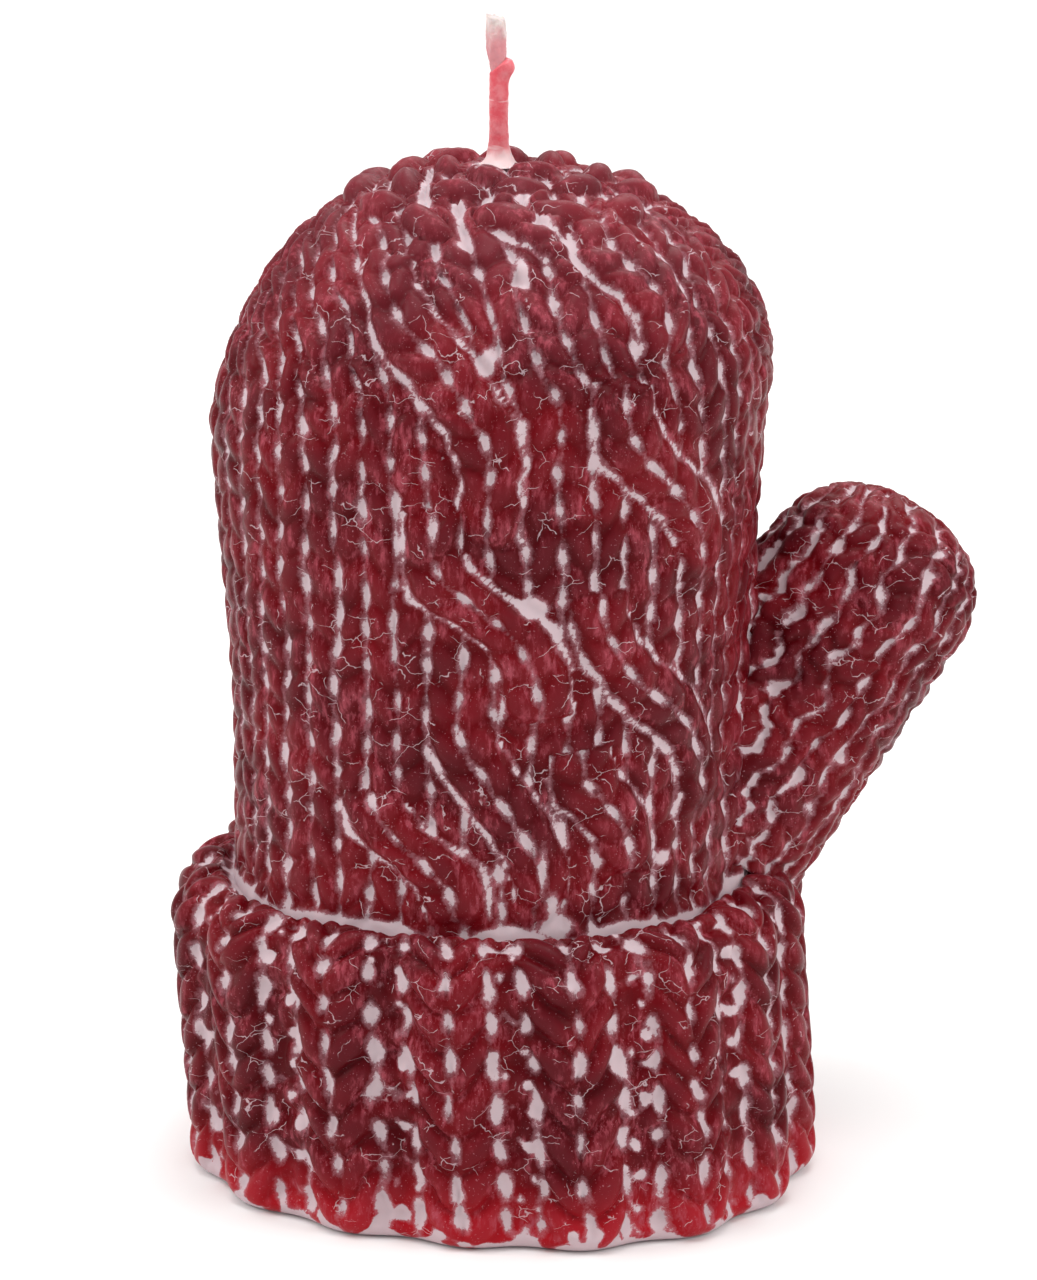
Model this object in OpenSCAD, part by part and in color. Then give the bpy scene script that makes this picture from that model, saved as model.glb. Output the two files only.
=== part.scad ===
// A wax candle cast in the shape of a cable-knit mitten that stands on its folded cuff.
// The origin is the middle of the flat base, on the wick's axis, and +Z is up.
// X runs across the hand with the thumb on the +X side, and -Y is the cabled back of the hand.
// The casting is one pour of wax. The wick runs through it, from a crimped tab in the base.

/* [Hand] */
// Height of the wax, from the base to the seat of the wick on the crown
body_h = 102.5; // [80:0.5:140]
// Width across the hand at its widest
hand_w = 54.8; // [42:0.2:70]
// Thickness of the hand, from its back to its palm
hand_t = 50.8; // [38:0.2:66]
// Width of the hand where it leaves the cuff
wrist_w = 50.6; // [38:0.2:66]
// Thickness of the hand where it leaves the cuff
wrist_t = 49.2; // [36:0.2:62]
// Height at which the hand begins to widen
waist_z = 45; // [40:0.5:55]
// Height of the domed crown
dome_h = 25; // [16:0.5:30]
// How far the shoulders of the dome lean towards the thumb
dome_lean = 1.6; // [0:0.1:3]
// How far the hand stands off the wick's axis, away from the thumb
hand_shift = 1.1; // [0:0.1:3]

/* [Cuff] */
// Height of the cuff's rolled top edge
cuff_h = 31.5; // [24:0.5:38]
// Width of the cuff
cuff_w = 62.4; // [54:0.2:80]
// Thickness of the cuff at its top
cuff_t = 57.2; // [52:0.2:76]
// Thickness of the cuff at the base
base_t = 55.6; // [50:0.2:74]
// Radius of the rounded rim round the base
rim_r = 2; // [1:0.1:4]
// Height of the rounded top edge of the cuff
roll_h = 5; // [3:0.1:8]
// Depth of the fold between the cuff and the hand
fold_d = 1.5; // [0.5:0.1:4]
// Number of knitted ribs round the cuff
rib_count = 16; // [10:1:20]
// Depth of the gutters between the ribs
rib_depth = 1.2; // [0.4:0.1:2.4]

/* [Thumb] */
// Width of the thumb, seen from the back of the hand
thumb_w = 22.4; // [16:0.2:28]
// Thickness of the thumb
thumb_t = 20.8; // [14:0.2:26]
// How far the middle of the thumb's tip stands out from the side of the hand
thumb_out = 10; // [4:0.2:18]
// Height of the middle of the thumb's tip
thumb_z = 57.3; // [50:0.1:64]
// Height of the round end beyond that middle
thumb_cap = 10.3; // [6:0.1:14]
// Length of the thumb below that middle, as far as its root inside the hand
thumb_l = 29; // [22:0.5:32]
// Lean of the thumb from upright
thumb_lean = 33.8; // [20:0.2:45]
// Turn of the thumb round the wick, towards the palm
thumb_turn = 27; // [0:1:40]

/* [Wick] */
// Diameter of the braided wick
wick_d = 1.6; // [1:0.1:3]
// Length of the wick above the crown
wick_out = 14.5; // [8:0.5:20]
// Length of bare wick at the tip, with no wax on it
bare_l = 4.6; // [2:0.1:7]
// Wall of the wax coat on the wick
coat_t = 0.15; // [0.1:0.05:0.5]
// Diameter of the coat's flared foot on the crown
foot_d = 3.6; // [3.2:0.1:5]
// Height of the flared foot
foot_h = 1.4; // [0.6:0.1:3]
// Diameter of the hardened bead of wax on the coat
bead_d = 2.6; // [2.2:0.1:3.2]
// Height of the bead above the crown
bead_z = 8.6; // [4:0.1:8.6]
// Gap between the wick and what is cast or crimped round it
wick_gap = 0; // [0:0.05:0.2]

/* [Tab] */
// Diameter of the metal tab pressed into the base
tab_d = 15; // [10:0.5:24]
// Thickness of the tab's sheet metal
tab_s = 0.3; // [0.2:0.05:0.6]
// Height of the tab's underside above the base
tab_z = 0.3; // [0.1:0.1:1]
// Height of the crimped neck above the tab
neck_h = 6; // [3:0.5:12]
// Gap between the tab and the wax round it
tab_gap = 0; // [0:0.05:0.3]

/* [Hidden] */

// Exponents of the rounded outlines: 2 is an ellipse, and more is squarer
hand_square = 2.25;
cuff_square = 2.3;
dome_square = 2.2;
thumb_square = 2.3;
// Points round a section, and the steps along each stretch of the outline
around = 96;
rim_steps = 4;
wall_steps = 3;
roll_steps = 7;
hand_steps = 8;
dome_steps = 10;
thumb_around = 36;
thumb_steps = 5;
cap_steps = 6;
// The roll's highest point, as a share of the way in from the cuff to the hand
roll_top = 0.62;
// The first rib's place round the base, just right of the middle of the cabled side
rib_angle = -61;
// The seat of the wick's foot is a little wider than the foot
seat_r = foot_d / 2 + 0.4;
// Holes run this far past the faces that they cut
past = 1;

channel_r = wick_d / 2 + wick_gap;
coat_r = wick_d / 2 + wick_gap + coat_t;
neck_r = channel_r + tab_s;
tab_top = tab_z + tab_s;
neck_top = tab_top + neck_h;
fold_z = cuff_h - fold_d;
dome_z = body_h - dome_h;
wick_top = body_h + wick_out;
coat_top = wick_top - bare_l;
thumb_reach = hand_w / 2 + thumb_out;

function mix(a, b, share) = a + (b - a) * share;
function ease(x) = let (t = max(0, min(1, x))) t * t * (3 - 2 * t);
function power(x, n) = sign(x) * pow(abs(x), n);

// A rounded oval of half-width 1 at angle a
function oval(a, n) =
    let (r = pow(pow(abs(cos(a)), n) + pow(abs(sin(a)), n), -1 / n)) [r * cos(a), r * sin(a)];

// The ribs swell and sink round the cuff
function rib(a) = rib_depth / 2 * cos(rib_count * (a - rib_angle));

// Half-width and half-thickness of the cuff and of the hand at height z
function cuff_half(z) = [cuff_w / 2, mix(base_t, cuff_t, z / cuff_h) / 2];
function hand_half(z) =
    let (grow = ease((z - waist_z) / (dome_z + dome_h / 6 - waist_z)))
    [mix(wrist_w, hand_w, grow) / 2, mix(wrist_t, hand_t, grow) / 2];
// Where the middle of a section stands along X
function middle(z) = mix(hand_shift / 2, -hand_shift, ease(z / cuff_h));

// One ring of points: height, half sizes, middle, squareness and how strongly the ribs show
function ring(z, half, x, n, ribs) = [
    for (i = [0 : around - 1])
        let (a = 360 * i / around, p = oval(a, n), swell = ribs * rib(a))
        [x + (half[0] + swell) * p[0], (half[1] + swell) * p[1], z]
];

rim_rings = [
    for (i = [0 : rim_steps - 1])
        let (t = 90 * i / rim_steps, inset = rim_r * (1 - sin(t)), z = rim_r * (1 - cos(t)))
        ring(z, cuff_half(z) - [inset, inset], middle(z), cuff_square, 1)
];
wall_rings = [
    for (i = [0 : wall_steps])
        let (z = mix(rim_r, cuff_h - roll_h, i / wall_steps))
        ring(z, cuff_half(z), middle(z), cuff_square, 1)
];
roll_rings = [
    for (i = [1 : roll_steps])
        let (
            t = 90 * i / roll_steps,
            z = cuff_h - roll_h * (1 - sin(t)),
            in = roll_top * (1 - cos(t))
        )
        ring(z, mix(cuff_half(z), hand_half(z), in), middle(z), cuff_square, 1 - in)
];
fold_rings = [ring(fold_z, hand_half(fold_z), middle(cuff_h), hand_square, 0)];
hand_rings = [
    for (i = [1 : hand_steps])
        let (z = mix(cuff_h, dome_z, i / hand_steps))
        ring(z, hand_half(z), middle(z), hand_square, 0)
];
dome_rings = [
    for (i = [1 : dome_steps - 1])
        let (
            t = 90 * i / dome_steps,
            up = power(sin(t), 2 / dome_square),
            in = power(cos(t), 2 / dome_square),
            z = dome_z + dome_h * up,
            x = middle(z) * in + dome_lean * sin(180 * up)
        )
        ring(z, hand_half(z) * in, x, hand_square, 0)
];
seat_ring = [ring(body_h, [seat_r, seat_r], 0, 2, 0)];

// A closed skin over a stack of rings that each have count points
module skin(rings, count) {
    last = len(rings) - 1;
    points = [for (r = rings) each r];
    sides = [
        for (j = [0 : last - 1], i = [0 : count - 1])
            let (
                next = (i + 1) % count,
                a = j * count + i,
                b = j * count + next,
                c = a + count,
                d = b + count
            )
            each [[a, d, b], [a, c, d]]
    ];
    bottom = [[for (i = [0 : count - 1]) i]];
    top = [[for (i = [count - 1 : -1 : 0]) last * count + i]];
    polyhedron(points = points, faces = concat(bottom, sides, top), convexity = 6);
}

module hand_and_cuff() {
    skin(concat(rim_rings, wall_rings, roll_rings, fold_rings, hand_rings, dome_rings, seat_ring), around);
}

// One ring round the thumb's own axis, which is +Z here with the tip's middle at the origin
function thumb_ring(z, share) = [
    for (i = [0 : thumb_around - 1])
        let (p = oval(360 * i / thumb_around, 2))
        [thumb_w / 2 * share * p[0], thumb_t / 2 * share * p[1], z]
];

module thumb() {
    shaft = [for (i = [0 : thumb_steps]) thumb_ring(mix(-thumb_l, 0, i / thumb_steps), 1)];
    cap = [
        for (i = [1 : cap_steps - 1])
            let (t = 90 * i / cap_steps)
            thumb_ring(thumb_cap * power(sin(t), 2 / thumb_square), power(cos(t), 2 / thumb_square))
    ];
    rotate([0, 0, thumb_turn]) translate([thumb_reach, 0, thumb_z]) rotate([0, thumb_lean, 0])
        skin(concat(shaft, cap), thumb_around);
}

module mitten_casting() {
    color("#7d1522") difference() {
        resize([0, 0, 0]) {
            hand_and_cuff();
            thumb();
        }
        // The wick's channel, open at the base and the crown
        translate([0, 0, -past]) cylinder(h = body_h + 2 * past, r = channel_r, $fn = 48);
        // The pocket that the tab is pressed into
        translate([0, 0, -past]) cylinder(h = past + tab_top, r = tab_d / 2 + tab_gap, $fn = 96);
        translate([0, 0, -past]) cylinder(h = past + neck_top, r = neck_r + tab_gap, $fn = 48);
    }
}

// The wick is cut level with the tab's underside
module wick_braid() {
    color("#f0e8e4") translate([0, 0, tab_z]) cylinder(h = wick_top - tab_z, r = wick_d / 2, $fn = 48);
}

// The wax skin that dipping leaves on the wick, with its foot on the crown and one run of wax
module wick_coat() {
    color("#e0717e") translate([0, 0, body_h]) difference() {
        union() {
            cylinder(h = coat_top - body_h, r = coat_r, $fn = 48);
            cylinder(h = foot_h, r1 = foot_d / 2, r2 = coat_r, $fn = 48);
            translate([coat_r - bead_d / 4, 0, bead_z]) sphere(d = bead_d, $fn = 48);
        }
        translate([0, 0, -past]) cylinder(h = wick_out + 2 * past, r = channel_r, $fn = 48);
    }
}

// The pressed tab, a little way up in its pocket, and the neck that is crimped round the wick
module wick_sustainer() {
    color("#b9bcc0") difference() {
        union() {
            translate([0, 0, tab_z]) cylinder(h = tab_s, r = tab_d / 2, $fn = 96);
            translate([0, 0, tab_z]) cylinder(h = tab_s + neck_h, r = neck_r, $fn = 48);
        }
        translate([0, 0, -past]) cylinder(h = neck_top + 2 * past, r = channel_r, $fn = 48);
    }
}

mitten_casting();
wick_braid();
wick_coat();
wick_sustainer();
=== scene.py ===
import bpy
import math
import numpy as np
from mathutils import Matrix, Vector


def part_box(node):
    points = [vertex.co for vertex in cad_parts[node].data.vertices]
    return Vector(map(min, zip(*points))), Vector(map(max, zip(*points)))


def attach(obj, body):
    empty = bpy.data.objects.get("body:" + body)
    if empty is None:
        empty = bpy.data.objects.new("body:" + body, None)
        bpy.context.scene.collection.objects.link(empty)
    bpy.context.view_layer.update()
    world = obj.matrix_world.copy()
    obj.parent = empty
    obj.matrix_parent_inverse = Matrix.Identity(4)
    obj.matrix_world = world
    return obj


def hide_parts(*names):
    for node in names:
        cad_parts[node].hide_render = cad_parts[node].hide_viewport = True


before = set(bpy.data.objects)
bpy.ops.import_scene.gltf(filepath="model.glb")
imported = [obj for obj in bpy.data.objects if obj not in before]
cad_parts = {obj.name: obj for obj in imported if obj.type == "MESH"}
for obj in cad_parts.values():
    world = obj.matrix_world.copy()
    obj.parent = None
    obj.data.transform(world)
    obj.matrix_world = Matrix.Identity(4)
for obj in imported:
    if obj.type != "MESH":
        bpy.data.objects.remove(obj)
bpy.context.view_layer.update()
mm = 0.001

# A wax candle cast in the shape of a cable-knit mitten. The casting is one pour of wax, drawn here
# as three closed skins (hand, cuff and thumb) that run into each other, so each carries fine relief.

viewpoint = {
    "azimuth": 16.0,  # degrees towards the thumb
    "elevation": 16.0,
    "distance": 0.52,
    "aimHeight": 0.05,
    "lens": 146.25,  # on the long side of the frame
    "shift": (0.0152, 0.0312),
}


def aimed(thing, azimuth, elevation, distance, height):
    # Stand a camera or light off the wick's axis, facing it at the given height
    turn, rise = math.radians(azimuth), math.radians(elevation)
    back = Vector((math.sin(turn) * math.cos(rise), -math.cos(turn) * math.cos(rise), math.sin(rise)))
    thing.location = Vector((0, 0, height)) + back * distance
    thing.rotation_euler = (-back).to_track_quat("-Z", "Y").to_euler()
    bpy.context.scene.collection.objects.link(thing)


def makeCamera(spec):
    data = bpy.data.cameras.new("camera")
    data.lens = spec["lens"]
    data.shift_x, data.shift_y = spec["shift"]
    data.clip_start, data.clip_end = 0.01, 20
    camera = bpy.data.objects.new("camera", data)
    aimed(camera, spec["azimuth"], spec["elevation"], spec["distance"], spec["aimHeight"])
    bpy.context.scene.camera = camera


def hexColour(code):
    # sRGB hex to linear: c / 12.92 below 0.04045, else ((c + 0.055) / 1.055) ^ 2.4
    parts = [int(code[i : i + 2], 16) / 255 for i in (1, 3, 5)]
    linear = [c / 12.92 if c <= 0.04045 else ((c + 0.055) / 1.055) ** 2.4 for c in parts]
    return (*linear, 1.0)


def addNode(tree, kind, settings=None, **inputs):
    # One node with its settings and inputs. An input is named, with _ for a space, or numbered
    # (in0, in1), and is a value, a socket to link from, or a node whose first live output is linked
    node = tree.nodes.new(kind)
    for key, value in (settings or {}).items():
        setattr(node, key, value)
    for key, value in inputs.items():
        numbered = key.startswith("in") and key[2:].isdigit()
        socket = node.inputs[int(key[2:])] if numbered else node.inputs[key.replace("_", " ")]
        if isinstance(value, bpy.types.Node):
            value = next(output for output in value.outputs if output.enabled)
        if isinstance(value, bpy.types.NodeSocket):
            tree.links.new(value, socket)
        else:
            socket.default_value = value
    return node


def newMaterial(name):
    material = bpy.data.materials.new(name)
    material.use_nodes = True
    material.node_tree.nodes.clear()
    return material, material.node_tree


studio = {
    "floorSize": 8.0,
    "floorColour": "#f4f3f2",
    "world": (0.5, 0.72),
    "lights": {
        # azimuth, elevation, distance, width, watts
        "top": (-10, 78, 0.9, 0.6, 4.4),
        "left": (-68, 30, 0.9, 0.5, 2.7),
        "right": (82, 30, 0.9, 0.5, 2.5),
        "behind": (175, 50, 1.3, 0.9, 6.0),
    },
}


def makeStudio(spec):
    half = spec["floorSize"] / 2
    corners = [(-half, -half, 0), (half, -half, 0), (half, half, 0), (-half, half, 0)]
    floorMesh = bpy.data.meshes.new("floor")
    floorMesh.from_pydata(corners, [], [(0, 1, 2, 3)])
    floor = bpy.data.objects.new("floor", floorMesh)
    bpy.context.scene.collection.objects.link(floor)
    material, tree = newMaterial("matt_backdrop_paper")  # seamless paper: flat, with no gloss at all
    paper = addNode(
        tree, "ShaderNodeBsdfPrincipled",
        Base_Color=hexColour(spec["floorColour"]), Roughness=0.95, Specular_IOR_Level=0.1,
    )
    addNode(tree, "ShaderNodeOutputMaterial", Surface=paper)
    floor.data.materials.append(material)
    world = bpy.data.worlds.new("studio")
    bpy.context.scene.world = world
    world.use_nodes = True
    # the room is a little dimmer all round at eye level than overhead
    tree = world.node_tree
    heading = addNode(tree, "ShaderNodeTexCoord").outputs["Generated"]
    upward = addNode(tree, "ShaderNodeSeparateXYZ", Vector=heading).outputs["Z"]
    dim, bright = spec["world"]
    sky = addNode(
        tree, "ShaderNodeMapRange", Value=upward, From_Min=0.1, From_Max=0.8, To_Min=dim, To_Max=bright
    )
    tree.links.new(sky.outputs[0], tree.nodes["Background"].inputs["Strength"])
    tree.nodes["Background"].inputs["Color"].default_value = (1, 1, 1, 1)
    for name, (azimuth, elevation, distance, width, watts) in spec["lights"].items():
        data = bpy.data.lights.new(name, "AREA")
        data.energy, data.size = watts, width
        aimed(bpy.data.objects.new(name, data), azimuth, elevation, distance, 0.05)
    bpy.context.scene.view_settings.view_transform = "Standard"


makeCamera(viewpoint)
makeStudio(studio)
print("camera, floor and lights made")

# Sizes that more than one skin needs, in millimetres
body = {
    "height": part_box("mitten_casting")[1][2] / mm,
    "handWide": 54.8,
    "handThick": 50.8,
    "wristWide": 50.6,
    "wristThick": 49.2,
    "waist": 45.0,
    "dome": 25.0,
    "lean": 1.6,
    "shift": 1.1,
    "handSquare": 2.25,
    "domeSquare": 2.2,
    "middling": (26.9, 25.2),  # half sizes that the girth is measured at
    "run": 26.2,  # half width that the length up the hand is measured at
}
cuffSize = {
    "height": 31.5,
    "wide": 62.4,
    "thick": 57.2,
    "baseThick": 55.6,
    "rim": 2.0,
    "roll": 5.0,
    "fold": 1.1,
    "rollTop": 0.78,  # how near the roll comes to the hand before it turns down into the crease
    "ribs": 16,
    "ribDeep": 1.2,
    "ribAngle": -61.0,
    "girth": 190.0,
    "square": 2.3,
}
thumbSize = {
    "wide": 22.4,
    "thick": 20.8,
    "out": 10.0,
    "tip": 57.3,
    "cap": 10.3,
    "long": 29.0,
    "lean": 33.8,
    "turn": 27.0,
    "square": 2.3,
    "middling": 10.8,
}
domeStart = body["height"] - body["dome"]


def mix(a, b, share):
    return a + (b - a) * share


def ease(x):
    # Smooth step: 3x^2 - 2x^3 between 0 and 1, flat beyond them
    x = np.clip(x, 0, 1)
    return x * x * (3 - 2 * x)


def oval(angle, square):
    # Rounded oval of half-width 1: radius = (|cos|^n + |sin|^n)^(-1/n)
    c, s = np.cos(angle), np.sin(angle)
    radius = (np.abs(c) ** square + np.abs(s) ** square) ** (-1 / square)
    return radius * c, radius * s


def wobble(points, size, seed, waves=7):
    # Smooth seeded noise, mostly from -1 to 1: a sum of sine waves that run in random directions
    dice = np.random.default_rng(seed)
    total = 0
    for _ in range(waves):
        heading = dice.normal(size=points.shape[-1])
        heading *= 2 * np.pi / (size * np.linalg.norm(heading)) * dice.uniform(0.7, 1.4)
        total = total + np.sin(points @ heading + dice.uniform(0, 2 * np.pi))
    return total / math.sqrt(waves)


def sway(points, layers):
    # Sum of wobbles, each given as its amount, its size in mm and its seed
    return sum(amount * wobble(points, size, seed) for amount, size, seed in layers)


def runLength(x, y, start=0.0):
    # Length run along a line of points, from its first
    return start + np.concatenate([[0], np.cumsum(np.hypot(np.diff(x), np.diff(y)))])


def gridNormals(points):
    # Outward normals of a wrapped grid: the cross product of its steps round and along
    roundStep = np.roll(points, -1, 1) - np.roll(points, 1, 1)
    alongStep = np.gradient(points, axis=0)
    normal = np.cross(roundStep, alongStep)
    return normal / np.maximum(np.linalg.norm(normal, axis=-1, keepdims=True), 1e-9)


def closedSkin(name, points, attributes, ring=False):
    # A grid of points in millimetres, wrapped round, and closed at each end by a fan round a middle
    # point. A ring has no ends: its last row joins its first
    rows, columns = points.shape[:2]
    index = np.arange(rows * columns).reshape(rows, columns)
    side = np.roll(index, -1, 1)
    quads = np.stack([index[:-1], side[:-1], side[1:], index[1:]], -1).reshape(-1, 4)
    low = np.stack([side[0], index[0], np.full(columns, rows * columns)], -1)
    high = np.stack([index[-1], side[-1], np.full(columns, rows * columns + 1)], -1)
    fans = np.concatenate([low, high])
    place = np.concatenate([points.reshape(-1, 3), [points[0].mean(0), points[-1].mean(0)]])
    if ring:
        join = np.stack([index[-1], side[-1], side[0], index[0]], -1)
        quads, fans, place = np.concatenate([quads, join]), fans[:0], points.reshape(-1, 3)
    mesh = bpy.data.meshes.new(name)
    mesh.vertices.add(len(place))
    mesh.vertices.foreach_set("co", (place * mm).ravel())
    mesh.loops.add(quads.size + fans.size)
    mesh.loops.foreach_set("vertex_index", np.concatenate([quads.ravel(), fans.ravel()]))
    mesh.polygons.add(len(quads) + len(fans))
    starts = np.concatenate([np.arange(len(quads)) * 4, quads.size + np.arange(len(fans)) * 3])
    mesh.polygons.foreach_set("loop_start", starts)
    mesh.update(calc_edges=True)
    mesh.validate()
    mesh.shade_smooth()
    for key, values in attributes.items():
        flat = np.concatenate([values.ravel(), [values[0].mean(), values[-1].mean()]])
        flat = flat[: len(place)].astype(np.float32)
        mesh.attributes.new(key, "FLOAT", "POINT").data.foreach_set("value", flat)
    piece = bpy.data.objects.new(name, mesh)
    bpy.context.scene.collection.objects.link(piece)
    return piece


knit = {
    "legWide": 3.2,  # one leg of a V stitch
    "rowHigh": 3.9,
    "slope": 0.85,  # how steeply a leg runs down to the middle of its V
    "lump": 1.0,  # from the bottom of a hole to the top of a stitch
    "arch": 0.6,
    "between": 0.5,  # depth of the dip between two stitches of one leg
    "bridge": 0.55,  # how high the wax bridges a line of holes between one hole and the next
    "holeLong": 0.55,  # share of a row that a hole takes
    "mark": (0.31, 0.8),  # half width and half length of the wash in a hole
    "floor": 0.2,  # level that the wash fills a hole up to
}


def legs(across, along, spec, uneven=0.0):
    # Height of V stitches, 0 in a hole and 1 on top. Across is the distance from the V's middle,
    # up to one leg's width. Each stitch is a leaf: across its leg it rises as (1 - q^2)^arch from the
    # floor of the line on either side, and along its leg it dips where it meets the next. The floor
    # is a hole for part of each row and a bridge for the rest.
    inLeg = np.clip(np.abs(across) / spec["legWide"], 0, 1)
    phase = (along - spec["slope"] * np.abs(across)) / spec["rowHigh"]
    f = np.abs(2 * (phase - np.floor(phase)) - 1)  # 0 in the middle of a stitch, 1 where two meet
    floor = spec["bridge"] * ease((1 - f - spec["holeLong"] + uneven) / 0.3)
    arch = (1 - (2 * inLeg - 1) ** 2) ** spec["arch"]
    top = 1 - spec["between"] * f**3
    return floor + (top - floor) * arch


def markEdge(aside, along, spec, size):
    # Distance outside the nearest mark of wash on a line of holes, below 0 within it. A mark is an
    # ellipse centred where two stitches meet; aside is the distance from the line
    halfWide, halfLong = spec["mark"][0] * size, spec["mark"][1] * size**1.5
    row = along / spec["rowHigh"]
    fromHole = (row - np.round(row)) * spec["rowHigh"]
    return (np.hypot(aside / halfWide, fromHole / halfLong) - 1) * halfWide


def legMarks(across, along, spec, size):
    # Marks of wash down the middle of the Vs and down the lines between one V and the next
    aside = np.abs(across)
    middle = markEdge(aside, along, spec, size)
    edge = markEdge(spec["legWide"] - aside, along - spec["slope"] * spec["legWide"], spec, size)
    thread = np.minimum(aside, spec["legWide"] - aside) - 0.35 * (size - 1.12)  # joins big marks
    return np.minimum(np.minimum(middle, edge), thread)


def wrapAcross(distance, wide):
    # Signed distance to the middle of the nearest V, for Vs two legs wide side by side
    return (distance + wide) % (2 * wide) - wide


# Sections of the hand, and the two lengths that its knit follows
profileTurn = np.linspace(0, np.pi / 2, 3001)
profileUp = np.sin(profileTurn) ** (2 / body["domeSquare"])
profileIn = np.cos(profileTurn) ** (2 / body["domeSquare"])
profileStart = cuffSize["height"] - cuffSize["fold"] - 1.5
wallHeights = np.linspace(profileStart, domeStart, 400)[:-1]
handHeights = np.concatenate([wallHeights, domeStart + body["dome"] * profileUp])
handShares = np.concatenate([np.ones_like(wallHeights), profileIn])
handUps = np.concatenate([np.zeros_like(wallHeights), profileUp])
handLengths = runLength(body["run"] * handShares, handHeights, profileStart)
girthAngles = np.linspace(0, 2 * np.pi, 3601)
girthX, girthY = oval(girthAngles, body["handSquare"])
girthLengths = runLength(body["middling"][0] * girthX, body["middling"][1] * girthY)
girth = girthLengths[-1]
frontLength = np.interp(1.5 * np.pi, girthAngles, girthLengths)


def handHalf(z):
    # Half width and half thickness of the hand: a smooth step from the wrist's sizes to the hand's
    grow = ease((z - body["waist"]) / (domeStart + body["dome"] / 6 - body["waist"]))
    halfWide = mix(body["wristWide"], body["handWide"], grow) / 2
    return halfWide, mix(body["wristThick"], body["handThick"], grow) / 2


def middleAt(z):
    # Sideways place of the middle: a smooth step from half the shift on one side to all of it on the other
    return mix(body["shift"] / 2, -body["shift"], ease(z / cuffSize["height"]))


def handPoints(turn, length):
    # The hand: rounded ovals whose half sizes grow from the wrist, then shrink over a domed crown
    z = np.interp(length, handLengths, handHeights)
    share = np.interp(length, handLengths, handShares)
    up = np.interp(length, handLengths, handUps)
    halfWide, halfThick = handHalf(z)
    x, y = oval(np.interp(turn * girth, girthLengths, girthAngles), body["handSquare"])
    middle = middleAt(z) * share + body["lean"] * np.sin(np.pi * up)
    return np.stack([middle + halfWide * share * x, halfThick * share * y, z], -1)


ropeHalf = 3.2
ropes = [
    # where a rope's middle starts to slant (mm across the front, mm up the hand), how far it travels
    # towards the thumb, over what height, how far it runs straight at each end, and half the width
    # of the wash in the groove on its left and on its right
    (-6.0, 97.0, 13.4, 20.0, 3.0, 8.0, 0.12, -0.2),
    (1.7, 69.5, 9.6, 12.5, 5.0, 5.0, -0.05, 0.2),
    (4.5, 52.5, 7.0, 15.0, 2.0, 4.0, 0.1, -0.15),
    (18.5, 84.0, 11.0, 16.0, 3.0, 4.0, 0.0, 0.05),
    (17.8, 63.5, 12.5, 20.0, 3.0, 3.0, 0.15, -0.02),
    (15.5, 49.0, 5.0, 10.0, 2.0, 3.0, -0.05, -0.1),
    (-4.5, 44.0, 8.0, 9.5, 2.0, 3.0, 0.05, -0.15),
    (5.0, 108.5, 8.0, 12.0, 2.0, 2.0, -0.1, 0.0),
    (13.5, 104.0, 9.0, 14.0, 2.0, 3.0, 0.15, 0.05),
]


def layRope(height, lift, marks, s, t, rope, uneven, size):
    # One rope of the cable, two legs wide, laid over the knit: straight, then a smooth S across,
    # then straight, with both ends sunk in. Beside its slant runs a groove with broken lines of wash
    startS, startT, run, drop, above, below, washLeft, washRight = rope
    steps = np.linspace(startT - drop - below - 4, startT + above + 4, 200)
    share = np.clip((startT - steps) / drop, 0, 1)
    course = startS + run * (share - 0.1 * np.sin(2 * np.pi * share))
    lean = np.interp(t, steps, np.arctan(np.gradient(-course, steps)))
    middle = np.interp(t, steps, course)
    offset = (s - middle) * np.cos(lean)
    along = np.interp(t, steps, runLength(course, steps)) - (s - middle) * np.sin(lean)
    ends = ease((startT + above - t) / 3.0) * ease((t - startT + drop + below) / 3.0)
    inside = (np.abs(offset) < ropeHalf) & (ends > 0.35)
    spec = {**knit, "legWide": ropeHalf, "holeLong": 0.5}
    height = np.where(inside, legs(offset, along, spec, uneven), height)
    border = np.abs(np.abs(offset) - ropeHalf - 0.1)
    height = height * (1 - np.exp(-((border / 0.6) ** 2)) * ends)
    marks = np.where(inside, legMarks(offset, along, {**spec, "mark": (0.34, 0.75)}, size), marks)
    dash = np.cos(2 * np.pi * along / knit["rowHigh"])
    slant = ends * ease((np.abs(lean) - 0.22) / 0.3)
    wash = np.where(offset < 0, washLeft, washRight)
    lineHalf = slant * np.clip(wash + 0.12 * dash + 0.7 * uneven, -0.4, 0.34)
    marks = np.where(slant > 0.1, np.minimum(marks, border - lineHalf), marks)
    crest = np.sqrt(np.clip(1 - (offset / (1.25 * ropeHalf)) ** 2, 0, 1))
    return height, np.maximum(lift, 0.95 * crest * ends), marks


gather = {
    # rings of gathered stitches round the wick: radius, how many, length and width of each
    "seed": 4,
    "rings": [(5.0, 6, 5.6, 3.0), (9.0, 9, 6.4, 3.4), (13.8, 12, 6.8, 3.6)],
}


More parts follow.
